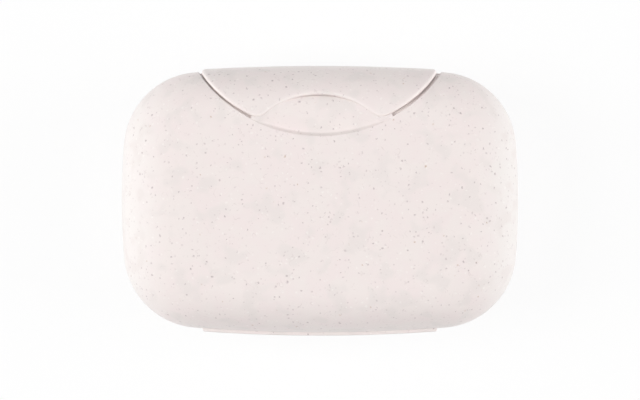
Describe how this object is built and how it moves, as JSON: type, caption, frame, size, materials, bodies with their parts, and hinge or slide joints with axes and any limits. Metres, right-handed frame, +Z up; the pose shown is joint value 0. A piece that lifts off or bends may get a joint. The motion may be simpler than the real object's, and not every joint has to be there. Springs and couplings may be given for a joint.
{
  "type": "soap dish",
  "caption": "Closed travel soap box of two like moulded halves with a hinged lid, a latch flap with a thumb notch, a rear hinge flap and drain ribs inside.",
  "frame": {"origin": "centre of the closed box's underside, on the surface that it stands on", "axes": "+X along the box's long side, +Y towards the front flap that latches the lid, +Z up"},
  "size_m": [0.115, 0.0786, 0.0423],
  "materials": {
    "bioplastic": "satin as moulded, off-white with fine brown and grey fibre specks"
  },
  "bodies": {
    "base": {"lower_shell": "bioplastic", "rear_flap": "bioplastic"},
    "lid": {"upper_shell": "bioplastic"},
    "latch": {"front_flap": "bioplastic"}
  },
  "joints": [
    {"name": "lid_hinge", "type": "hinge", "parent": "base", "child": "lid", "pos_m": [0, -0.03945, 0.02455], "axis": [1, 0, 0], "range_deg": [0, 180], "deforming": ["front_flap"]},
    {"name": "front_flap_hinge", "type": "hinge", "parent": "base", "child": "latch", "pos_m": [0, 0.03945, 0.01775], "axis": [-1, 0, 0], "range_deg": [0, 150]}
  ]
}
